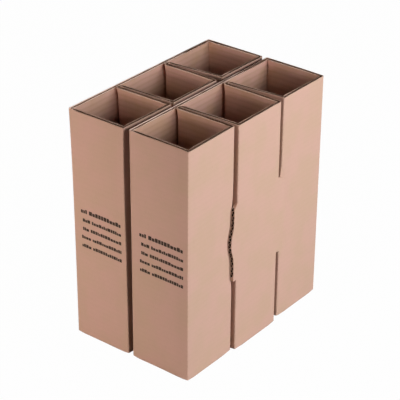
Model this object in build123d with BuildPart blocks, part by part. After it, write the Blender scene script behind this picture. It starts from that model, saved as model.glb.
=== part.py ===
"""Two free-standing cell inserts of a six-bottle shipping box.

Each insert is one long strip of corrugated board, folded into a row of three
square tubes that are open at the top and at the bottom. The strip runs round
the row as one closed loop. It turns back at two slots, so every partition is a
pair of boards joined by a full fold beside the long wall.
Millimetres, +Z up, the pair stands on Z = 0 with its middle at the origin.
"""
import math
import os

from build123d import *

os.makedirs("parts", exist_ok=True)

# Overall size of one insert, and the space between the two rows
HEIGHT = 350.0
WIDTH = 98.0
PANEL = 96.5
ROW_GAP = 7.0

# Corrugated board: two liners with a wave between them
BOARD = 4.0
LINER = 0.55
WAVE_SHEET = 0.5
FLUTE_PITCH = 7.9
FLUTE_SLOPE = 45
EDGE_GROOVE = 3.0
FOLD_OUTSIDE = 1.8
PAST_BOARD = 1.0

# Slots between the tubes, front slot first
SLOT_MOUTHS = (3.4, 8.6)
SLOT_ROOTS = (1.4, 2.4)
FOLD_STANDOFFS = (0.6, 2.0)
FOLD_SHIFTS = (2.6, 3.6)

# Tabs of the middle tube, which lap over the faces of its neighbours
TAB_HEIGHT = 119.0
TAB_REST = 0.3
TAB_LAP = 2.6
TAB_CORNER = 8.0
NOSE_REACH = 5.6
NOSE_HEIGHT = 66.0

# Sizes that follow from the ones above
CORE = BOARD - 2 * LINER
LENGTH = 3 * PANEL + sum(SLOT_MOUTHS)
MIDDLE_FACE = WIDTH + BOARD + TAB_REST
MIDDLE_CORE = MIDDLE_FACE - BOARD / 2
TAB_BOTTOM = (HEIGHT - TAB_HEIGHT) / 2
TAB_TOP = TAB_BOTTOM + TAB_HEIGHT
TAB_REACHES = [mouth + TAB_LAP for mouth in SLOT_MOUTHS]

# A channel's straight sides aim at a point, and its bottom is rounded off so
# that one sheet of paper is left between it and its neighbours
slope = math.radians(FLUTE_SLOPE)
sheet_half = WAVE_SHEET / 2 / math.cos(slope)
FLUTE_POINT = CORE / 2 - sheet_half + math.tan(slope) * FLUTE_PITCH / 4
FLUTE_MOUTH = 2 * FLUTE_POINT / math.tan(slope)
FLUTE_BEND = (FLUTE_POINT - CORE + WAVE_SHEET) / (1 / math.cos(slope) - 1)

# Where each slot starts and ends along the open side, and where its fold lies
slot_fronts = (PANEL, 2 * PANEL + SLOT_MOUTHS[0])
slot_backs = (slot_fronts[0] + SLOT_MOUTHS[0], slot_fronts[1] + SLOT_MOUTHS[1])
slot_middles = [(front + back) / 2 for front, back in zip(slot_fronts, slot_backs)]


def slot_edge(number):
    """Round end and mouth of a slot, seen from above."""
    radius = SLOT_ROOTS[number] / 2
    depth = 2 * BOARD + FOLD_STANDOFFS[number] + radius
    CenterArc((depth, slot_middles[number] - FOLD_SHIFTS[number]), radius, 90, 180)
    Line((MIDDLE_FACE, slot_fronts[number]), (MIDDLE_FACE, slot_backs[number]))


def tab_edge(reach, fold, way):
    """Cut edge of a tab that reaches past a fold line, from the bottom up."""
    side = fold + way * reach
    bend = side + way * NOSE_REACH / 2
    middle = HEIGHT / 2
    low, high = (side, middle - NOSE_HEIGHT / 2), (side, middle + NOSE_HEIGHT / 2)
    low_bend, high_bend = (bend, middle - NOSE_HEIGHT / 4), (bend, middle + NOSE_HEIGHT / 4)
    Polyline((fold, TAB_BOTTOM), (side, TAB_BOTTOM), low)
    TangentArc(low, low_bend, tangent=(0, 1))
    ThreePointArc(low_bend, (side + way * NOSE_REACH, middle), high_bend)
    TangentArc(high, high_bend, tangent=(0, -1))
    Polyline(high, (side, TAB_TOP - TAB_CORNER), (fold, TAB_TOP))


def flute_edge(middle, way):
    """Outline of one channel between the wave and the liner on one side."""
    liner = MIDDLE_CORE + way * CORE / 2
    low, high = (liner, middle - FLUTE_MOUTH / 2), (liner, middle + FLUTE_MOUTH / 2)
    FilletPolyline(low, (liner - way * FLUTE_POINT, middle), high, radius=FLUTE_BEND)
    Line(high, low)


# One insert in its own frame: long wall on X = 0, front wall on Y = 0
with BuildPart() as insert:
    # The folded strip, full height
    with BuildSketch() as strip:
        Rectangle(WIDTH, LENGTH, align=Align.MIN)
        with Locations((WIDTH, slot_middles[0])):
            Rectangle(MIDDLE_FACE - WIDTH, slot_middles[1] - slot_middles[0], align=Align.MIN)
        for number in (0, 1):
            with BuildLine() as slot:
                slot_edge(number)
            make_hull(slot.edges(), mode=Mode.SUBTRACT)
        corners = strip.vertices().filter_by_position(Axis.X, WIDTH - 1, MIDDLE_FACE + 1)
        fillet(corners + strip.vertices().group_by(Axis.X)[0], FOLD_OUTSIDE)
        outline = strip.face()
        offset(amount=-BOARD, kind=Kind.ARC, mode=Mode.SUBTRACT)
    extrude(amount=HEIGHT)

    # Windows left in the partitions where the tabs were cut out of them
    tab_folds = (slot_backs[0], slot_fronts[1])
    for reach, mouth, fold, inward in zip(TAB_REACHES, SLOT_MOUTHS, tab_folds, (1, -1)):
        with BuildSketch(Plane.XZ.offset(-fold + inward * mouth / 2)):
            with BuildLine():
                tab_edge(reach, MIDDLE_FACE, -1)
                Line((MIDDLE_FACE, TAB_TOP), (MIDDLE_FACE, TAB_BOTTOM))
            make_face()
        extrude(amount=-inward * (mouth / 2 + BOARD + PAST_BOARD), mode=Mode.SUBTRACT)

    # Middle panel with its two tabs, flat between the folds
    with BuildSketch(Plane.YZ.offset(WIDTH + TAB_REST)):
        with BuildLine():
            tab_edge(TAB_REACHES[0], tab_folds[0], -1)
            Line((tab_folds[0], TAB_TOP), (tab_folds[1], TAB_TOP))
            tab_edge(TAB_REACHES[1], tab_folds[1], 1)
            Line((tab_folds[0], TAB_BOTTOM), (tab_folds[1], TAB_BOTTOM))
        make_face()
    extrude(amount=BOARD)

    # Flutes, open at the cut edges of the tabs
    count = math.floor(TAB_HEIGHT / FLUTE_PITCH - 0.2)
    start = HEIGHT / 2 - (count - 1) * FLUTE_PITCH / 2
    with BuildSketch(Plane.XZ):
        for index in range(2 * count - 1):
            with BuildLine():
                flute_edge(start + index * FLUTE_PITCH / 2, 1 if index % 2 else -1)
            make_face()
    extrude(amount=LENGTH, both=True, mode=Mode.SUBTRACT)

    # Open gap between the liners along the bottom and top edges
    for level in (0, HEIGHT - EDGE_GROOVE):
        with BuildSketch(Plane.XY.offset(level)):
            add(outline)
            offset(amount=-LINER, kind=Kind.ARC, mode=Mode.REPLACE)
            offset(amount=-CORE, kind=Kind.ARC, mode=Mode.SUBTRACT)
        extrude(amount=EDGE_GROOVE, mode=Mode.SUBTRACT)

# The same insert twice, side by side, both facing the same way
span = WIDTH + ROW_GAP + MIDDLE_FACE
with BuildPart() as insert_left:
    with Locations((-span / 2, -LENGTH / 2, 0)):
        add(insert.part)

with BuildPart() as insert_right:
    with Locations((WIDTH + ROW_GAP - span / 2, -LENGTH / 2, 0)):
        add(insert.part)

insert_left.part.label = "insert_left"
export_step(insert_left.part, "parts/insert_left.step")
insert_right.part.label = "insert_right"
export_step(insert_right.part, "parts/insert_right.step")
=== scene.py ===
"""Dressed scene of the two folded cell inserts of a six-bottle shipping box.

The inserts are plain brown corrugated board. Each one is rebuilt here from its
solid with soft, slightly bowed walls, and gets the paper wave between the
liners and the ink on its front wall. Metres, +Z up, the frame of the solids.
"""

import logging
import math
import random
from dataclasses import dataclass, field
from enum import Enum
from functools import cached_property
from typing import Any, Iterator, Sequence

import bmesh
import bpy
from mathutils import Matrix, Vector, noise
from mathutils.kdtree import KDTree


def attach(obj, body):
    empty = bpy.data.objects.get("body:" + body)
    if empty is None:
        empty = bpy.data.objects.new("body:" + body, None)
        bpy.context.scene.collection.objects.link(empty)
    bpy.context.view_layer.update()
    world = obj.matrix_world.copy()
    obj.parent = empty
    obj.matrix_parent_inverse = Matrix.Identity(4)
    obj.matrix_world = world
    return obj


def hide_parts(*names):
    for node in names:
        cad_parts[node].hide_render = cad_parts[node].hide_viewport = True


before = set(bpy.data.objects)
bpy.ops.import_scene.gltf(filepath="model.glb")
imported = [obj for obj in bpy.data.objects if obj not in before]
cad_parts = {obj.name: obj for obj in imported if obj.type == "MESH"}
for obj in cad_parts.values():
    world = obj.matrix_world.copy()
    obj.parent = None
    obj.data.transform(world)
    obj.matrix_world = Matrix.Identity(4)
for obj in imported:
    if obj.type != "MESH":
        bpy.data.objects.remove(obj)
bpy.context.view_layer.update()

MM = 0.001
TUBES = 3
# A face looks along an axis if its normal has this much of it
SQUARE_ON = 0.9
# Corners of a block with its own corners cut off, by place in each direction
NICKED = ((1, 0), (2, 0), (3, 1), (3, 2), (2, 3), (1, 3), (0, 2), (0, 1))
# Light through warm white cloth
WARM_CLOTH = (1.0, 0.862, 0.785)
LOG = logging.getLogger("inserts")
Point = tuple[float, float]
Socket = bpy.types.NodeSocket
BMesh = bmesh.types.BMesh


class Paper(Enum):
    """Material slots of a board, in the order in which the mesh holds them."""

    OUTSIDE = 0
    INSIDE = 1
    FOLD = 2
    CUT = 3
    WAVE = 4
    # Nearly black fluting paper in the tabs' channels: painted shade
    CHANNEL = 5
    # Paler cut edge on the long walls' rims: a painted highlight
    RUBBED = 6


CUT_PAPERS = (Paper.CUT.value, Paper.RUBBED.value)


class Place(Enum):
    """Which insert of the pair."""

    LEFT = "left"
    RIGHT = "right"


def linear(code: str) -> tuple[float, float, float, float]:
    """Turn an sRGB hex colour into the linear values that a shader takes.

    Args:
        code: six hex digits with a leading hash.

    Returns:
        Red, green, blue and an alpha of one.
    """
    parts = [int(code[i : i + 2], 16) / 255 for i in (1, 3, 5)]
    red, green, blue = [
        c / 12.92 if c <= 0.04045 else ((c + 0.055) / 1.055) ** 2.4 for c in parts
    ]
    return red, green, blue, 1.0


def per_metre(size_mm: float) -> float:
    """Give the texture scale of a pattern whose real size is in millimetres."""
    return 1000.0 / size_mm


def tree_of(line: Sequence[Point]) -> KDTree:
    """Store the points of a flat line for quick search.

    Args:
        line: the points.

    Returns:
        The tree that finds the nearest of them.
    """
    tree = KDTree(len(line))
    for index, spot in enumerate(line):
        tree.insert((*spot, 0.0), index)
    tree.balance()
    return tree


def finished(mesh: BMesh, name: str) -> bpy.types.Object:
    """Turn a mesh in metres into an object of the scene.

    Args:
        mesh: the finished mesh, which is freed.
        name: the piece's name.

    Returns:
        The new object.
    """
    data = bpy.data.meshes.new(name)
    mesh.to_mesh(data)
    mesh.free()
    made = bpy.data.objects.new(name, data)
    bpy.context.scene.collection.objects.link(made)
    return made


class Shading:
    """The nodes of one material or of the world, and short ways to add some."""

    def __init__(self, owner: bpy.types.Material | bpy.types.World) -> None:
        """Start without any node.

        Args:
            owner: the material or world that gets the nodes.
        """
        self.owner = owner
        owner.use_nodes = True
        owner.node_tree.nodes.clear()

    @cached_property
    def place(self) -> Socket:
        """Position on the object."""
        return self.add("ShaderNodeTexCoord").outputs["Object"]

    @cached_property
    def height(self) -> Socket:
        """Height on the object."""
        return self.add("ShaderNodeSeparateXYZ", links={0: self.place}).outputs[2]

    def add(
        self,
        kind: str,
        values: dict[Any, Any] | None = None,
        links: dict[Any, Socket] | None = None,
        **settings: Any,
    ) -> bpy.types.Node:
        """Add one shader node with its settings, socket values and links.

        Args:
            kind: Blender's type name of the node.
            values: numbers or colours for sockets, by socket name or index.
            links: the sockets that feed this node's sockets.
            **settings: properties of the node itself.

        Returns:
            The new node.
        """
        tree = self.owner.node_tree
        made = tree.nodes.new(kind)
        for name, value in settings.items():
            setattr(made, name, value)
        for socket, value in (values or {}).items():
            made.inputs[socket].default_value = value
        for socket, source in (links or {}).items():
            tree.links.new(source, made.inputs[socket])
        return made

    def blend(self, share: Socket, first: Socket | str, second: Socket | str) -> Socket:
        """Mix two colours by a share that varies over the surface.

        Args:
            share: socket with the amount of the second colour.
            first: a colour socket or an sRGB hex colour.
            second: the same.

        Returns:
            The mixed colour's socket.
        """
        values, links = {}, {0: share}
        for index, colour in ((6, first), (7, second)):
            if isinstance(colour, str):
                values[index] = linear(colour)
            else:
                links[index] = colour
        return self.add("ShaderNodeMix", values, links, data_type="RGBA").outputs[2]

    def scaled(self, source: Socket, factor: float, plus: Socket | None = None) -> Socket:
        """Multiply a varying number by a fixed factor, and add another if there is one.

        Args:
            source: socket with the varying number.
            factor: what it is multiplied by.
            plus: socket with the number that is added.

        Returns:
            The socket with the result.
        """
        links, operation = {0: source}, "MULTIPLY"
        if plus is not None:
            links, operation = {0: source, 2: plus}, "MULTIPLY_ADD"
        return self.add("ShaderNodeMath", {1: factor}, links, operation=operation).outputs[0]

    def speckle(
        self,
        size_mm: float,
        low: float,
        high: float,
        detail: float = 2.0,
        stretch: Sequence[float] = (1.0, 1.0, 1.0),
    ) -> Socket:
        """Make a soft noise between nought and one with features of a real size.

        Args:
            size_mm: size of one patch in millimetres.
            low: noise level that becomes nought.
            high: noise level that becomes one.
            detail: number of finer layers in the noise.
            stretch: how much closer the patches lie along each axis.

        Returns:
            The socket with the noise.
        """
        moved = self.add("ShaderNodeMapping", {"Scale": stretch}, {"Vector": self.place})
        grain = self.add(
            "ShaderNodeTexNoise",
            {"Scale": per_metre(size_mm), "Detail": detail, "Roughness": 0.55},
            {"Vector": moved.outputs[0]},
        )
        return self.add(
            "ShaderNodeMapRange",
            {"From Min": low, "From Max": high},
            {"Value": grain.outputs[0]},
            interpolation_type="SMOOTHSTEP",
        ).outputs[0]

    def ripple(self, pitch_mm: float, drift_mm: float, wander_mm: float = 60.0) -> Socket:
        """Make level bands that repeat at the pitch of the flutes.

        Args:
            pitch_mm: distance from band to band.
            drift_mm: how far a band wanders up and down.
            wander_mm: length over which it wanders.

        Returns:
            A socket that swings between minus one and one.
        """
        wander = self.speckle(wander_mm, low=0.0, high=1.0, detail=1.0)
        shifted = self.scaled(wander, drift_mm * MM, plus=self.height)
        turned = self.scaled(shifted, 2 * math.pi * per_metre(pitch_mm))
        return self.add("ShaderNodeMath", links={0: turned}, operation="SINE").outputs[0]

    def level_band(
        self,
        start_mm: float,
        end_mm: float,
        strength: float,
        tear_mm: float = 2.2,
        raggedness: float = 0.6,
    ) -> Socket:
        """Mark a ragged level strip that grows from one height to another.

        Args:
            start_mm: height at which the strip begins.
            end_mm: height at which it is full.
            strength: level of the full strip.
            tear_mm: size of the tears in its margin.
            raggedness: depth of the tears, by the height over which it grows.

        Returns:
            A socket that is nought before the start and the strength at the end.
        """
        tears = self.speckle(tear_mm, low=0.2, high=0.8)
        uneven = self.scaled(tears, (end_mm - start_mm) * raggedness * MM, plus=self.height)
        return self.add(
            "ShaderNodeMapRange",
            {"From Min": start_mm * MM, "From Max": end_mm * MM, "To Max": strength},
            {"Value": uneven},
        ).outputs[0]

    def camera_share(self) -> Socket:
        """Tell rays that look straight, by gloss or through glass from the others.

        Returns:
            A socket that is one for such a ray and nought for any other.
        """
        path = self.add("ShaderNodeLightPath").outputs
        share = path["Is Camera Ray"]
        for kind in ("Is Glossy Ray", "Is Transmission Ray"):
            links = {0: share, 1: path[kind]}
            share = self.add("ShaderNodeMath", links=links, operation="MAXIMUM").outputs[0]
        return share

    def finish(
        self,
        colour: Socket,
        roughness: float,
        specular: float,
        relief: Socket | None = None,
        depth_mm: float = 0.0,
    ) -> bpy.types.Material:
        """Close a material with a principled shader.

        Args:
            colour: socket with the base colour.
            roughness: how matt the surface is.
            specular: strength of the clear reflection.
            relief: socket with the relief, if there is one.
            depth_mm: depth of the relief in millimetres.

        Returns:
            The finished material.
        """
        links = {"Base Color": colour}
        if relief is not None:
            depth = {"Strength": 1.0, "Distance": depth_mm * MM}
            links["Normal"] = self.add("ShaderNodeBump", depth, {"Height": relief}).outputs[0]
        values = {"Roughness": roughness, "Specular IOR Level": specular, "IOR": 1.5}
        shader = self.add("ShaderNodeBsdfPrincipled", values, links)
        self.add("ShaderNodeOutputMaterial", links={0: shader.outputs[0]})
        return self.owner


@dataclass(frozen=True)
class KraftLiner:
    """Brown kraft paper, machine made and uncoated, glued over a wave.

    The eye gets a dull warm brown with broad pinkish and olive clouds, fine
    upright fibres and faint level bands where the flutes press through. A pale
    fringe along the top rim is partly torn fibres and partly a painted
    highlight where light catches the rim, and a darker line along the foot is
    painted contact shade.
    """

    name: str
    base: str = "#D8B3A1"
    pink: str = "#DAB3A3"
    olive: str = "#D5B39D"
    fibre: str = "#B08A74"
    # Torn fibres at the top rim, with a painted highlight where light catches it
    pale_fringe_and_highlight: str = "#F6E2D6"
    # Painted contact shade along the foot
    painted_foot_shade: str = "#B58B76"
    band: str = "#B48D72"
    cloud_mm: float = 46.0
    patch_mm: float = 18.4
    patch_share: float = 0.45
    # Fibres are drawn coarser than the real 0.05 mm so that they show
    fibre_mm: float = 1.1
    fibre_share: float = 0.15
    fibre_stretch: tuple[float, float, float] = (1.0, 1.0, 0.22)
    fibre_relief: float = 0.3
    flute_mm: float = 7.9
    drift_mm: float = 2.4
    band_share: float = 0.03
    band_relief: float = 0.5
    relief_mm: float = 0.03
    height_mm: float = 350.0
    # Width and strength of the pale top fringe: torn fibres and painted highlight
    pale_fringe_and_highlight_mm: float = 0.5
    pale_fringe_and_highlight_share: float = 0.9
    # Height and strength of the painted contact shade at the foot
    painted_foot_shade_mm: float = 1.6
    painted_foot_shade_share: float = 0.4
    roughness: float = 0.9
    specular: float = 0.06

    def build(self) -> bpy.types.Material:
        """Build the liner's material.

        Returns:
            The material.
        """
        paper = Shading(bpy.data.materials.new(self.name))
        clouds = paper.speckle(self.cloud_mm, low=0.35, high=0.65)
        patches = paper.speckle(self.patch_mm, low=0.4, high=0.7, detail=3.0)
        fibres = paper.speckle(self.fibre_mm, 0.55, 0.8, 3.0, self.fibre_stretch)
        bands = paper.ripple(self.flute_mm, self.drift_mm)
        trough = paper.add(
            "ShaderNodeMapRange", {"From Min": -0.2, "To Max": self.band_share}, {"Value": bands}
        ).outputs[0]
        rim = self.height_mm
        colour = paper.blend(clouds, self.pink, self.olive)
        for share, code in (
            (paper.scaled(patches, self.patch_share), self.base),
            (paper.scaled(fibres, self.fibre_share), self.fibre),
            (trough, self.band),
            # torn fibres and painted highlight along the top rim
            (paper.level_band(rim - self.pale_fringe_and_highlight_mm, rim, self.pale_fringe_and_highlight_share), self.pale_fringe_and_highlight),
            # painted contact shade along the foot
            (paper.level_band(self.painted_foot_shade_mm, 0.0, self.painted_foot_shade_share), self.painted_foot_shade),
        ):
            colour = paper.blend(share, colour, code)
        flutes = paper.scaled(bands, self.band_relief)
        relief = paper.scaled(fibres, self.fibre_relief, plus=flutes)
        return paper.finish(colour, self.roughness, self.specular, relief, self.relief_mm)


@dataclass(frozen=True)
class CutEdge:
    """Die-cut edge of kraft board.

    The eye gets torn fibre ends: a paler, woollier brown than the face. The
    copy on the long walls' rims is paler still, a painted highlight where
    light catches those rims.
    """

    name: str
    base: str = "#EFD0BD"
    dark: str = "#CDA28B"
    tuft_mm: float = 0.8
    tuft_share: float = 0.5
    cloud_mm: float = 14.0
    cloud_share: float = 0.35
    relief_mm: float = 0.12
    roughness: float = 0.95
    specular: float = 0.03

    def build(self) -> bpy.types.Material:
        """Build the cut edge's material.

        Returns:
            The material.
        """
        paper = Shading(bpy.data.materials.new(self.name))
        tufts = paper.speckle(self.tuft_mm, low=0.4, high=0.7, detail=3.0)
        clouds = paper.speckle(self.cloud_mm, low=0.35, high=0.7)
        colour = self.base
        for pattern, share in ((tufts, self.tuft_share), (clouds, self.cloud_share)):
            colour = paper.blend(paper.scaled(pattern, share), colour, self.dark)
        return paper.finish(colour, self.roughness, self.specular, tufts, self.relief_mm)


@dataclass(frozen=True)
class WavePaper:
    """Fluting paper: recycled, pressed into a wave between hot rollers.

    The eye gets a darker, greyer brown than the liner. A nearly black copy in
    the narrow channels of the tabs is painted shade.
    """

    name: str
    base: str = "#A68470"
    dark: str = "#745343"
    grain_mm: float = 1.6
    relief_mm: float = 0.05
    roughness: float = 0.95
    specular: float = 0.03

    def build(self) -> bpy.types.Material:
        """Build the wave's material.

        Returns:
            The material.
        """
        paper = Shading(bpy.data.materials.new(self.name))
        grain = paper.speckle(self.grain_mm, low=0.35, high=0.7)
        colour = paper.blend(grain, self.base, self.dark)
        return paper.finish(colour, self.roughness, self.specular, grain, self.relief_mm)


@dataclass(frozen=True)
class StampInk:
    """Black water-based ink, pressed on with a rubber plate.

    The eye gets a dull black that the brown fibres break up at the margins.
    """

    ink: str = "#3A2F2A"
    worn: str = "#6B5646"
    blot_mm: float = 1.4
    roughness: float = 0.8
    specular: float = 0.2

    def build(self) -> bpy.types.Material:
        """Build the ink's material.

        Returns:
            The material.
        """
        film = Shading(bpy.data.materials.new("black_ink_plate_printed"))
        blots = film.speckle(self.blot_mm, low=0.5, high=0.8, detail=3.0)
        colour = film.blend(blots, self.ink, self.worn)
        return film.finish(colour, self.roughness, self.specular)


@dataclass(frozen=True)
class StudioPaper:
    """White studio paper under the object.

    The eye gets plain white with a faint soft shadow where the inserts stand.
    """

    sheet: str = "#AEAEAE"
    tooth_mm: float = 3.0
    tooth_share: float = 0.02
    glow: float = 0.985

    def build(self) -> bpy.types.Material:
        """Build the floor's material.

        Returns:
            The material.
        """
        paper = Shading(bpy.data.materials.new("studio_paper_white"))
        tooth = paper.speckle(self.tooth_mm, low=0.3, high=0.7, detail=1.0)
        colour = paper.blend(paper.scaled(tooth, self.tooth_share), self.sheet, "#FFFFFF")
        matt = paper.add("ShaderNodeBsdfDiffuse", {"Roughness": 1.0}, {"Color": colour})
        white = paper.add("ShaderNodeEmission", {"Color": (1, 1, 1, 1), "Strength": 1.0})
        share = paper.scaled(paper.camera_share(), self.glow)
        links = {0: share, 1: matt.outputs[0], 2: white.outputs[0]}
        mixed = paper.add("ShaderNodeMixShader", links=links)
        paper.add("ShaderNodeOutputMaterial", links={0: mixed.outputs[0]})
        return paper.owner


@dataclass(frozen=True)
class InsertSizes:
    """Sizes of one insert in millimetres, the same as in the solid."""

    height: float = 350.0
    width: float = 98.0
    length: float = 301.5
    panel: float = 96.5
    row_gap: float = 7.0
    board: float = 4.0
    liner: float = 0.55
    flute_pitch: float = 7.9
    edge_groove: float = 3.0
    fold_outside: float = 1.8
    tab_height: float = 119.0
    tab_rest: float = 0.3
    # Slots between the tubes, front slot first
    mouths: tuple[float, float] = (3.4, 8.6)
    roots: tuple[float, float] = (1.4, 2.4)
    standoffs: tuple[float, float] = (0.6, 2.0)
    shifts: tuple[float, float] = (2.6, 3.6)

    @property
    def middle_face(self) -> float:
        """Outer face of the middle tube, which stands proud by one board."""
        return self.width + self.board + self.tab_rest

    @property
    def span(self) -> float:
        """Width of the whole pair."""
        return self.width + self.row_gap + self.middle_face

    def slot(self, number: int) -> tuple[float, float]:
        """Where a slot starts and ends along the open side."""
        front = self.panel * (number + 1) + sum(self.mouths[:number])
        return front, front + self.mouths[number]

    def corners(self) -> list[tuple[float, float, float]]:
        """List the corners of the strip's outer face, seen from above.

        Returns:
            X, Y and fold radius of each corner, against the clock.
        """
        found = [(0.0, 0.0, self.fold_outside), (self.width, 0.0, self.fold_outside)]
        for number in (0, 1):
            front, back = self.slot(number)
            radius = self.roots[number] / 2
            depth = 2 * self.board + self.standoffs[number]
            centre = Vector((depth + radius, (front + back) / 2 - self.shifts[number]))
            rims = []
            for mouth, way in ((front, -1), (back, 1)):
                start = Vector((self.middle_face, mouth))
                away = centre - start
                turn = math.atan2(away.y, away.x) - way * math.asin(radius / away.length)
                slope = math.tan(turn)
                near = self.width if (mouth == front) == (number == 0) else self.middle_face
                rims.append(
                    [
                        (near, mouth + slope * (near - self.middle_face), self.fold_outside),
                        (depth, mouth + slope * (depth - self.middle_face), radius),
                    ]
                )
            found += [rims[0][0], rims[0][1], rims[1][1], rims[1][0]]
        found += [
            (self.width, self.length, self.fold_outside),
            (0.0, self.length, self.fold_outside),
        ]
        return found

    def path(self, inset: float, step: float = 6.0, turns: int = 7) -> list[Point]:
        """Walk round the strip at a set depth in the board.

        Args:
            inset: depth from the outer face.
            step: distance between points on the flat walls.
            turns: number of points on a fold.

        Returns:
            Points of a closed line, against the clock.
        """
        corners = self.corners()
        points: list[Point] = []
        count = len(corners)
        for index in range(count):
            before, here, after = (Vector(corners[(index + k) % count][:2]) for k in (-1, 0, 1))
            radius = corners[index][2]
            into, out = (here - before).normalized(), (after - here).normalized()
            angle = math.atan2(into.cross(out), into.dot(out))
            reach = radius * abs(math.tan(angle / 2))
            side = 1.0 if angle > 0 else -1.0
            normal = Vector((-into.y, into.x)) * side
            centre = here - into * reach + normal * radius
            size = radius - side * inset
            if points:
                points += self.between(points[-1], centre - normal * size, step)
            for turn in range(turns + 1 if size > 0.01 else 1):
                spoke = -normal * size
                spoke.rotate(Matrix.Rotation(angle * turn / turns, 2))
                points.append(tuple(centre + spoke))
        points += self.between(points[-1], Vector(points[0]), step)
        return points

    @staticmethod
    def between(start: Point, end: Vector, step: float) -> list[Point]:
        """Give the points strictly between two ends, about a step apart."""
        count = max(1, round((end - Vector(start)).length / step))
        return [tuple(Vector(start).lerp(end, k / count)) for k in range(1, count)]


@dataclass(frozen=True)
class Bow:
    """How the walls of a standing insert give, in millimetres.

    Attributes:
        seed: number that gives an insert its own bumps.
        wall: how far a side wall bows inwards.
        end_wall: the same for the front and the back wall.
        partition: how far the partitions sway.
        rim: unevenness of the upper rim.
        lift: how far a corner of the foot curls up.
        taper: how far the long wall's foot stands in.
        pinch: how far the rim of the open side is pressed in.
        tuck: the same for the middle tube's rim.
        sag: how far the rim sinks at the open side.
        middle_sag: share of that at the middle tube.
        front_sag: how far the rim of the front wall sinks.
        swell: how far the board swells at the tabs' cut edges.
        stand: how far the folds stand off the long wall.
        spread: how far the back slot opens to each side.
        give: how far the faces give under the tabs.
        slant: how far the tabs' cut edges slant.
        bump: length and height of the bumps.
        reach: distance at which a wall's push has faded out.
        sway_reach: distance from a slot over which the sway fades.
        fold_reach: distance beside a fold over which it stands off.
        past_fold: distance past a fold over which that fades.
        under: how far the back slot's two faces open under the tab.
        give_reach: distance from the tabs over which the give fades.
        give_height: half height of the give, by the tabs' height.
        slant_reach: length over which the slant grows.
        front_reach: length over which the front rim starts to sink.
        rim_reach: depth over which the sinking fades.
        foot_reach: height over which the curl fades.
        corner_area: the same beside a corner, in square millimetres.
    """

    sizes: InsertSizes
    seed: float
    wall: float = 0.55
    end_wall: float = 0.715
    partition: float = 0.9
    rim: float = 0.22
    lift: float = 1.3
    taper: float = 0.4
    pinch: float = 0.0
    tuck: float = 0.0
    sag: float = 1.2
    middle_sag: float = 0.3
    front_sag: float = 1.1
    swell: float = 1.4
    stand: float = 0.9
    spread: float = 1.9
    give: float = 2.0
    slant: float = 1.2
    bump: tuple[float, float] = (70.0, 110.0)
    reach: float = 45.0
    sway_reach: float = 16.0
    fold_reach: float = 7.0
    past_fold: float = 9.0
    under: tuple[float, float] = (0.1, 14.0)
    give_reach: float = 22.0
    give_height: float = 0.62
    slant_reach: float = 4.0
    front_reach: float = 20.0
    rim_reach: float = 25.0
    foot_reach: float = 18.0
    corner_area: float = 60.0

    def near(self, distance: float) -> float:
        """Weight that fades out away from a wall."""
        return max(0.0, 1.0 - abs(distance) / self.reach) ** 2

    def slack(self, along: float, up: float, side: float) -> float:
        """Smooth push between nought and one over a wall."""
        spot = Vector((along / self.bump[0], up / self.bump[1], self.seed + side * 7.3))
        return 0.5 + 0.5 * noise.noise(spot)

    def across(self, x: float) -> float:
        """Weight of a spot between the long wall and the open side."""
        return math.sin(math.pi * min(1.0, max(0.0, x / self.sizes.width)))

    def open_side(self, x: float) -> float:
        """Weight that grows from the middle of a tube to the open side."""
        return max(0.0, min(1.0, 2.0 * x / self.sizes.width - 1.0))

    def bowed_walls(self, point: Sequence[float]) -> Vector:
        """Bow the outer walls inwards between the corners of the tubes.

        Args:
            point: a point of the flat insert.

        Returns:
            Its push.
        """
        x, y, z = point
        size = self.sizes
        along = abs(math.sin(math.pi * TUBES * min(1.0, max(0.0, y / size.length)))) ** 0.7
        side = self.wall * along
        end = self.end_wall * self.across(x)
        push = Vector((0.0, 0.0, 0.0))
        push.x += side * self.near(x) * self.slack(y, z, 1)
        push.x -= side * self.near(size.middle_face - x) * self.slack(y, z, 2)
        push.y += end * self.near(y) * (0.3 + self.slack(x, z, 3))
        push.y -= end * self.near(size.length - y) * self.slack(x, z, 4)
        return push

    def opened_slots(self, point: Sequence[float]) -> Vector:
        """Let the partitions sway, their folds stand off and the back slot open.

        Args:
            point: a point of the flat insert.

        Returns:
            Its push.
        """
        x, y, z = point
        size = self.sizes
        push = Vector((0.0, 0.0, 0.0))
        for number, standoff in enumerate(size.standoffs):
            middle = sum(size.slot(number)) / 2
            close = math.exp(-(((y - middle) / self.sway_reach) ** 2))
            sway = self.slack(x * 0.6, z, 5 + number) - 0.5
            push.y += 2 * self.partition * close * self.across(x) * sway
            if x > size.board + 0.2:
                beside = math.exp(-(((y - middle) / self.fold_reach) ** 4))
                past = max(0.0, x - 2 * size.board - standoff)
                push.x += self.stand * beside * math.exp(-past / self.past_fold)
        front, back = size.slot(1)
        behind = y >= (front + back) / 2
        if abs(z - size.height / 2) > size.tab_height / 2 - self.under[behind]:
            opened = self.spread * self.open_side(x)
            push.y += opened * self.near(y - back) if behind else -opened * self.near(y - front)
        return push

    def under_tabs(self, point: Sequence[float]) -> Vector:
        """Push the walls in under the tabs, and slant the tabs' swollen cut edges.

        Args:
            point: a point of the flat insert.

        Returns:
            Its push.
        """
        x, y, z = point
        size = self.sizes
        front, back = size.slot(0)[0], size.slot(1)[1]
        beside = max(0.0, front - y, y - back)
        above = abs(z - size.height / 2)
        push = Vector((0.0, 0.0, 0.0))
        if x < size.width + size.tab_rest / 2:
            if x > size.width * 0.8:
                level = max(0.0, 1.0 - (above / (self.give_height * size.tab_height)) ** 4)
                push.x -= self.give * level * math.exp(-((beside / self.give_reach) ** 2))
        elif above < size.tab_height / 2 + 0.1 and beside > 0.0:
            share = min(1.0, beside / self.slant_reach) * (size.middle_face - x) / size.board
            push.y += self.slant * share * (-1.0 if y < front else 1.0)
            push.x -= self.swell * share
        return push

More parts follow.
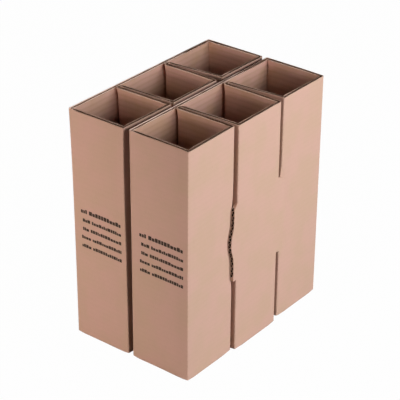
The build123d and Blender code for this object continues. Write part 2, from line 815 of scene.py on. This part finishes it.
    def pressed_rim(self, point: Sequence[float]) -> Vector:
        """Lean the side walls, press the open side in and let the rim sink.

        Args:
            point: a point of the flat insert.

        Returns:
            Its push.
        """
        x, y, z = point
        size = self.sizes
        up = z / size.height
        push = Vector((0.0, 0.0, 0.0))
        push.x += self.taper * self.near(x) * (1.0 - up**4)
        level = up * (1.0 - 0.5 * up**12)
        push.x -= self.pinch * level * self.near(size.width - x) * self.near(0.5 * y)
        tab_top = (size.height + size.tab_height) / 2
        middle_tube = size.slot(0)[0] < y < size.slot(1)[1]
        if middle_tube and z > tab_top:
            share = (z - tab_top) / (size.height - tab_top)
            push.x -= self.tuck * self.open_side(x) * share
        low = self.rim * self.slack(x * 1.5 + y, 0.0, 8)
        sag = self.sag * (self.middle_sag if middle_tube else 1.0)
        low += sag * min(1.0, x / size.width) ** 3
        low = max(low, self.front_sag * self.near(3.0 * y) * min(1.0, x / self.front_reach))
        push.z -= low * math.exp(-(size.height - z) / self.rim_reach)
        return push

    def curled_foot(self, point: Sequence[float]) -> float:
        """Tell how far the foot curls up beside a corner of a tube.

        Args:
            point: a point of the flat insert.

        Returns:
            Its lift.
        """
        x, y, z = point
        if z >= 5 * self.foot_reach:
            return 0.0
        close = 0.0
        for at_x, at_y, radius in self.sizes.corners():
            if radius == self.sizes.fold_outside:
                away = (x - at_x) ** 2 + (y - at_y) ** 2
                close += math.exp(-away / self.corner_area)
        return self.lift * math.exp(-z / self.foot_reach) * min(1.0, close)

    def settle(self, point: Sequence[float]) -> Vector:
        """Move a point of the flat insert to where the board really stands.

        Args:
            point: X, Y and Z in the insert's own frame.

        Returns:
            The moved point.
        """
        push = self.bowed_walls(point) + self.opened_slots(point)
        push += self.pressed_rim(point) + self.under_tabs(point)
        push.z += self.curled_foot(point)
        return Vector(point) + push


@dataclass
class PrintedLine:
    """One row of print blocks on a front wall, in millimetres.

    Attributes:
        centre: height of the row's middle.
        height: height of the tall blocks.
        start: where the row begins, from the long wall.
        end: where it ends.
        words: number of blocks in each word.
        gap: space between blocks, by the row's height.
        space: space between words, by the row's height.
        widths: least and greatest width of a block, before they fill the row.
        tops: heights that a block may have, by the row's height.
    """

    centre: float
    height: float
    start: float
    end: float
    words: tuple[int, ...]
    gap: float = 0.1
    space: float = 0.62
    widths: tuple[float, float] = (0.6, 1.4)
    tops: tuple[float, ...] = (0.78, 1.0, 1.0)

    def blocks(self, dice: random.Random) -> Iterator[tuple[float, float, float, float]]:
        """Spread blocks over the row.

        Args:
            dice: the source of the uneven widths and heights.

        Yields:
            Left, right, bottom and top of each block.
        """
        gap = self.height * self.gap
        space = self.height * self.space
        row = [[dice.uniform(*self.widths) for _ in range(count)] for count in self.words]
        total = sum(sum(word) for word in row)
        free = sum(count - 1 for count in self.words) * gap + (len(self.words) - 1) * space
        unit = (self.end - self.start - free) / total
        left = self.start
        bottom = self.centre - self.height / 2
        for word in row:
            for width in word:
                top = bottom + self.height * dice.choice(self.tops)
                yield left, left + width * unit, bottom, top
                left += width * unit + gap
            left += space - gap


@dataclass
class Insert:
    """One folded insert: board, wave between the liners, and print.

    Attributes:
        node: name of its solid.
        squeeze: how this insert differs from the usual bow.
        grid_mm: spacing of the cuts that let the walls bend.
        fine_step: spacing of the points that are searched.
        crease: angle from which an edge shows as sharp, in degrees.
        wave_sheet: thickness of the fluting paper.
        wave_sunk: how deep the wave lies below the rim.
        wave_rows: number of faces down the wave.
        wave_drift: how much the wave's phase varies, and over what length.
        lips: how far the outer and the inner liner close over the groove.
        long_lip: the same for both liners of the long wall.
        bead: rounding of the liners' cut edges.
        slope: fall of the cut towards the inside, by depth in the board.
        long_slope: the same on the long wall.
        flare: how far the inner liner bends inwards at the rim.
        crushed: depth to which the cut has changed the board.
        rim_zone: depth to which a level cut belongs to a rim.
        ink_lift: how far the ink lies in front of the wall.
        ink_seed: number from which the uneven print follows.
        nick: cut-off corners of a print block, by its row's height.
    """

    place: Place
    node: str
    seed: int
    squeeze: dict[str, float] = field(default_factory=dict)
    sizes: InsertSizes = field(default_factory=InsertSizes)
    grid_mm: float = 13.0
    fine_step: float = 1.5
    crease: float = 32.0
    wave_sheet: float = 0.35
    wave_sunk: float = 1.2
    wave_rows: int = 7
    wave_drift: tuple[float, float] = (1.6, 60.0)
    lips: tuple[float, float] = (0.15, 1.1)
    long_lip: float = 1.3
    bead: float = 0.15
    slope: float = 0.08
    long_slope: float = 0.36
    flare: float = 1.5
    crushed: float = 9.0
    rim_zone: float = 5.0
    ink_lift: float = 0.06
    ink_seed: int = 41
    nick: float = 0.09
    lines: tuple[PrintedLine, ...] = (
        PrintedLine(201.2, 6.2, 15.0, 89.0, (3, 11)),
        PrintedLine(187.3, 5.0, 18.0, 89.6, (3, 13)),
        PrintedLine(174.0, 5.0, 18.0, 89.6, (3, 13)),
        PrintedLine(160.6, 5.0, 15.4, 89.6, (4, 13)),
        PrintedLine(147.2, 5.0, 15.4, 89.6, (4, 13)),
    )

    def __post_init__(self) -> None:
        """Work out where the insert stands and how its walls give."""
        shift = 0.0 if self.place is Place.LEFT else self.sizes.width + self.sizes.row_gap
        self.corner = Vector((shift - self.sizes.span / 2, -self.sizes.length / 2, 0.0))
        self.bow = Bow(self.sizes, float(self.seed), **self.squeeze)

    def to_frame(self, point: Sequence[float]) -> Vector:
        """Settle a point of the insert and give it in metres."""
        return (self.bow.settle(point) + self.corner) * MM

    def own(self, point: Vector) -> Vector:
        """Give a point of the frame in the insert's own millimetres."""
        return point / MM - self.corner

    def paper_of(self, face: bmesh.types.BMFace, outline: KDTree) -> Paper:
        """Tell which paper shows on a face of the solid.

        Args:
            face: a face of the flat insert.
            outline: points along the strip's outer face.

        Returns:
            The paper of that face.
        """
        size = self.sizes
        spots = [self.own(corner.co) for corner in face.verts]
        middle = sum(spots, Vector()) / len(spots)
        low, high = min(s.z for s in spots), max(s.z for s in spots)
        left, right = min(s.x for s in spots), max(s.x for s in spots)
        slack = 0.02
        if abs(face.normal.z) > SQUARE_ON and (low > size.height - slack or high < slack):
            # The long wall's rims take the paler cut edge, a painted highlight
            return Paper.RUBBED if right < size.board + slack else Paper.CUT
        if low > size.height - size.edge_groove - slack or high < size.edge_groove + slack:
            return Paper.WAVE
        if abs(middle.z - size.height / 2) < size.tab_height / 2 + slack:
            in_plate = left > size.middle_face - size.board - slack
            if in_plate and right < size.middle_face - size.liner + slack:
                if face.normal.x < -SQUARE_ON and right < size.middle_face - size.board + slack:
                    return Paper.OUTSIDE
                # The tabs' channels take the nearly black copy of the wave: painted shade
                return Paper.CUT if abs(face.normal.y) > 0.5 else Paper.CHANNEL
            if in_plate and abs(face.normal.x) < 0.3:
                return Paper.CUT
        nearest = outline.find((middle.x, middle.y, 0.0))[2]
        if nearest > size.board / 2 and left < size.width + slack:
            return Paper.INSIDE
        turned = max(abs(face.normal.x), abs(face.normal.y)) < 0.98
        return Paper.FOLD if turned else Paper.OUTSIDE

    def build_board(self) -> bpy.types.Object:
        """Build the folded board from its solid, with walls that give a little.

        Returns:
            The board's object.
        """
        size = self.sizes
        mesh = bmesh.new()
        mesh.from_mesh(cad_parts[self.node].data)
        bmesh.ops.remove_doubles(mesh, verts=mesh.verts, dist=2e-6)
        mesh.normal_update()
        self.cut_square(mesh, 0, size.middle_face - size.liner)
        outline = tree_of(size.path(0.0, self.fine_step))
        for face in mesh.faces:
            face.material_index = self.paper_of(face, outline).value
        for axis, length in enumerate((size.middle_face, size.length, size.height)):
            count = round(length / self.grid_mm)
            for step in range(1, count):
                self.cut_square(mesh, axis, length * step / count)
        self.crush_rims(mesh, outline)
        self.round_cut_edges(mesh)
        for corner in mesh.verts:
            corner.co = self.to_frame(self.own(corner.co))
            corner.co.z = max(corner.co.z, 0.0)
        for face in mesh.faces:
            face.smooth = True
        for edge in mesh.edges:
            cut = all(face.material_index in CUT_PAPERS for face in edge.link_faces)
            gentle = not edge.is_manifold or edge.calc_face_angle() < math.radians(self.crease)
            edge.smooth = cut or gentle
        return finished(mesh, "board_" + self.place.value)

    def cut_square(self, mesh: BMesh, axis: int, distance: float) -> None:
        """Cut the faces of a mesh along a plane that is square to an axis.

        Args:
            mesh: the board's mesh, before its walls give.
            axis: number of the axis.
            distance: where the plane lies along it, in the insert's own millimetres.
        """
        spot, way = self.corner.copy(), Vector((0.0, 0.0, 0.0))
        spot[axis] += distance
        way[axis] = 1.0
        everything = mesh.verts[:] + mesh.edges[:] + mesh.faces[:]
        bmesh.ops.bisect_plane(
            mesh, geom=everything, dist=1e-7, plane_co=spot * MM, plane_no=way
        )

    def crush_rims(self, mesh: BMesh, outline: KDTree) -> None:
        """Shape the rims as the knife leaves them at the top and at the bottom.

        The cut slopes down to the inside, the liners close in over the groove
        and the inner liner flares.

        Args:
            mesh: the board's mesh, before its walls give.
            outline: points along the strip's outer face.
        """
        size = self.sizes
        core = tree_of(size.path(size.board / 2, self.fine_step))
        for corner in mesh.verts:
            flat = self.own(corner.co)
            from_cut = min(flat.z, size.height - flat.z)
            if from_cut >= self.crushed:
                continue
            here = Vector((flat.x, flat.y, 0.0))
            target, _, away = core.find(here)
            outward = (here - target).normalized()
            (first, _, _), (second, _, _) = outline.find_n(here, 2)
            along = (second - first).normalized()
            depth = abs(along.cross(here - first).z) if along.length > 0.5 else 0.0
            inner = depth > size.board / 2
            long_wall = flat.x < size.board + 0.1
            near = 1.0 - from_cut / self.crushed
            drop = (self.long_slope if long_wall else self.slope) * min(depth, size.board) * near
            corner.co.z += drop * MM * (1.0 if flat.z < size.height / 2 else -1.0)
            if from_cut < 0.01 and away < size.board / 2 - size.liner / 2:
                lip = self.long_lip if long_wall else self.lips[inner]
                corner.co -= outward * lip * MM
            if inner and not long_wall:
                corner.co += outward * self.flare * near**2 * MM

    def round_cut_edges(self, mesh: BMesh) -> None:
        """Round off the cut edges of the liners at the top and at the bottom.

        Args:
            mesh: the board's mesh, before its walls give.
        """
        mesh.normal_update()
        low, high = self.rim_zone * MM, (self.sizes.height - self.rim_zone) * MM
        cuts = [
            face
            for face in mesh.faces
            if face.material_index in CUT_PAPERS
            and abs(face.normal.z) > SQUARE_ON
            and not low < face.calc_center_median().z < high
        ]
        known = set(cuts)
        ways: dict[bmesh.types.BMVert, Vector] = {}
        for face in cuts:
            for edge in face.edges:
                if sum(near in known for near in edge.link_faces) == 1:
                    for corner in edge.verts:
                        ways[corner] = ways.get(corner, Vector()) + face.normal
        width = self.bead * MM
        bmesh.ops.inset_region(
            mesh, faces=cuts, thickness=width, use_boundary=True, use_even_offset=False
        )
        for corner, way in ways.items():
            corner.co -= way.normalized() * width

    def build_wave(self) -> bpy.types.Object:
        """Build the paper wave that shows between the liners at both rims.

        Returns:
            The wave's object, which a modifier gives the paper's thickness.
        """
        size = self.sizes
        middle = size.path(size.board / 2)
        swing = size.board / 2 - size.liner - self.wave_sheet / 2
        drift, patch = self.wave_drift
        mesh = bmesh.new()
        count = len(middle)
        for base, way in ((size.height, -1), (0.0, 1)):
            strips = []
            for index, spot in enumerate(middle):
                before, after = Vector(middle[index - 1]), Vector(middle[(index + 1) % count])
                along = (after - before).normalized()
                side = Vector((-along.y, along.x))
                bump = Vector((spot[0] / patch, spot[1] / patch, self.seed + way))
                phase = self.seed + drift * noise.noise(bump)
                strip = []
                for row in range(self.wave_rows + 1):
                    share = row / self.wave_rows
                    depth = self.wave_sunk + (size.edge_groove - self.wave_sunk) * share
                    lean = swing * math.sin(2 * math.pi * depth / size.flute_pitch + phase)
                    x, y = Vector(spot) + side * lean
                    strip.append(mesh.verts.new(self.to_frame((x, y, base + way * depth))))
                strips.append(strip)
            for index in range(count):
                here, there = strips[index], strips[(index + 1) % count]
                for row in range(self.wave_rows):
                    mesh.faces.new((here[row], there[row], there[row + 1], here[row + 1]))
        for face in mesh.faces:
            face.smooth = True
        bmesh.ops.recalc_face_normals(mesh, faces=mesh.faces)
        piece = finished(mesh, "wave_" + self.place.value)
        thick = piece.modifiers.new("paper", "SOLIDIFY")
        thick.thickness = self.wave_sheet * MM
        thick.offset = 0.0
        return piece

    def build_print(self) -> bpy.types.Object:
        """Build the rows of ink blocks on the front wall.

        Returns:
            The print's object.
        """
        dice = random.Random(self.ink_seed)
        mesh = bmesh.new()
        for line in self.lines:
            for left, right, bottom, top in line.blocks(dice):
                nick = line.height * self.nick
                wide = (left, left + nick, right - nick, right)
                tall = (bottom, bottom + nick, top - nick, top)
                corners = []
                for across, up in NICKED:
                    spot = self.to_frame((wide[across], 0.0, tall[up]))
                    spot.y -= self.ink_lift * MM
                    corners.append(mesh.verts.new(spot))
                mesh.faces.new(corners)
        return finished(mesh, "print_" + self.place.value)

    def dress(self, papers: dict[Paper, bpy.types.Material], ink: bpy.types.Material) -> None:
        """Build the insert's pieces, give them their materials and seat them.

        Args:
            papers: the papers of the board.
            ink: the print's material.
        """
        board = self.build_board()
        for paper in Paper:
            board.data.materials.append(papers[paper])
        wave = self.build_wave()
        wave.data.materials.append(papers[Paper.WAVE])
        marks = self.build_print()
        marks.data.materials.append(ink)
        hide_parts(self.node)
        for piece in (board, wave, marks):
            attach(piece, "root")
            LOG.info("%s: %d faces", piece.name, len(piece.data.polygons))


@dataclass(frozen=True)
class Softbox:
    """A lamp behind a rectangle of white cloth, in metres, watts and degrees."""

    name: str
    spot: tuple[float, float, float]
    wide: float
    tall: float
    power: float
    aim: tuple[float, float, float] = (0.0, 0.0, 0.18)
    spread: float = 180.0
    tint: tuple[float, float, float] = (1.0, 1.0, 1.0)

    def build(self) -> None:
        """Hang the lamp and point it at its aim."""
        data = bpy.data.lights.new(self.name, "AREA")
        data.shape = "RECTANGLE"
        data.size = self.wide
        data.size_y = self.tall
        data.energy = self.power
        data.spread = math.radians(self.spread)
        data.color = self.tint
        lamp = bpy.data.objects.new(self.name, data)
        lamp.location = self.spot
        aim = Vector(self.aim) - Vector(self.spot)
        lamp.rotation_euler = aim.to_track_quat("-Z", "Y").to_euler()
        bpy.context.scene.collection.objects.link(lamp)


@dataclass
class Studio:
    """Floor, lamps, world and camera, in metres and degrees."""

    camera_at: tuple[float, float, float] = (1.16276, -1.49023, 1.21710)
    yaw: float = 37.948
    pitch: float = 28.691
    roll: float = 0.419
    # Focal length and picture width in pixels, as they were fitted to the picture
    lens_px: float = 1534.8
    frame_px: float = 400.0
    sensor_mm: float = 36.0
    sight: float = 50.0
    ambient: float = 0.004
    # Half the side of the floor, and how far it lies below the object
    floor: float = 6.0
    floor_gap: float = 0.0002
    lamps: tuple[Softbox, ...] = (
        Softbox("key_softbox", (1.6, 0.2, 0.7), 1.0, 1.0, power=26.8),
        Softbox("far_softbox", (-0.1, -2.9, 0.6), 0.16, 0.5, power=24.4, tint=WARM_CLOTH),
        Softbox("top_softbox", (0.0, 0.0, 2.6), 0.5, 0.5, power=4.5, tint=WARM_CLOTH),
        Softbox(
            "front_softbox",
            (-0.066, -1.3, 0.6),
            0.12,
            0.7,
            power=1.42,
            aim=(-0.5, 0.0, 0.05),
            spread=68.0,
            tint=WARM_CLOTH,
        ),
    )

    def build_floor(self) -> None:
        """Lay the white sheet under the inserts."""
        mesh = bmesh.new()
        bmesh.ops.create_grid(mesh, x_segments=1, y_segments=1, size=self.floor)
        sheet = finished(mesh, "studio_floor")
        sheet.location.z = -self.floor_gap
        sheet.data.materials.append(StudioPaper().build())

    def build_world(self) -> None:
        """Light the room evenly, and show it white behind the object."""
        world = bpy.data.worlds.new("room")
        air = Shading(world)
        room, white = (
            air.add("ShaderNodeBackground", {"Color": (1, 1, 1, 1), "Strength": level})
            for level in (self.ambient, 1.0)
        )
        links = {0: air.camera_share(), 1: room.outputs[0], 2: white.outputs[0]}
        mixed = air.add("ShaderNodeMixShader", links=links)
        air.add("ShaderNodeOutputWorld", links={0: mixed.outputs[0]})
        bpy.context.scene.world = world

    def build_camera(self) -> None:
        """Stand the camera where the picture was taken from."""
        data = bpy.data.cameras.new("camera")
        data.sensor_width = self.sensor_mm
        data.lens = self.lens_px / self.frame_px * self.sensor_mm
        data.clip_end = self.sight
        camera = bpy.data.objects.new("camera", data)
        turn = Matrix.Rotation(math.radians(self.yaw), 4, "Z")
        tilt = Matrix.Rotation(math.radians(90.0 - self.pitch), 4, "X")
        lean = Matrix.Rotation(math.radians(self.roll), 4, "Z")
        camera.matrix_world = Matrix.Translation(self.camera_at) @ turn @ tilt @ lean
        bpy.context.scene.collection.objects.link(camera)
        bpy.context.scene.camera = camera

    def build(self) -> None:
        """Set up the whole studio."""
        self.build_floor()
        self.build_world()
        for lamp in self.lamps:
            lamp.build()
        self.build_camera()
        bpy.context.scene.view_settings.view_transform = "Standard"


def main() -> None:
    """Build the inserts and the studio."""
    logging.basicConfig(level=logging.INFO, format="%(name)s: %(message)s")
    papers = {
        Paper.OUTSIDE: KraftLiner("kraft_liner_outside").build(),
        # A darker copy of the liner for the tubes' inside: painted shade
        Paper.INSIDE: KraftLiner(
            "kraft_liner_inside_painted_shade",
            base="#D3AB99",
            pink="#D7AC9D",
            olive="#CDA68C",
            band_share=0.24,
            relief_mm=0.12,
            # A wider pale fringe on the inner liner's top rim, partly painted highlight
            pale_fringe_and_highlight_mm=1.4,
        ).build(),
        Paper.FOLD: KraftLiner("kraft_liner_creased", band_share=0.12, relief_mm=0.3).build(),
        Paper.CUT: CutEdge("kraft_board_die_cut").build(),
        # Paler copy of the cut edge for the long walls' rims: painted highlight
        Paper.RUBBED: CutEdge("kraft_board_rim_painted_highlight", base="#F7DDD0", dark="#E3C2B1").build(),
        Paper.WAVE: WavePaper("fluting_paper_pressed").build(),
        # Dark copy of the fluting paper for the tabs' channels: painted shade
        Paper.CHANNEL: WavePaper("fluting_paper_painted_shade", base="#2E201A", dark="#1F1511").build(),
    }
    ink = StampInk().build()
    squeeze = {"taper": 3.4, "pinch": 4.4, "tuck": 4.2, "sag": 0.4}
    for insert in (
        Insert(Place.LEFT, "insert_left", seed=3, squeeze=squeeze),
        Insert(Place.RIGHT, "insert_right", seed=8),
    ):
        insert.dress(papers, ink)
    Studio().build()


if __name__ == "__main__":
    main()
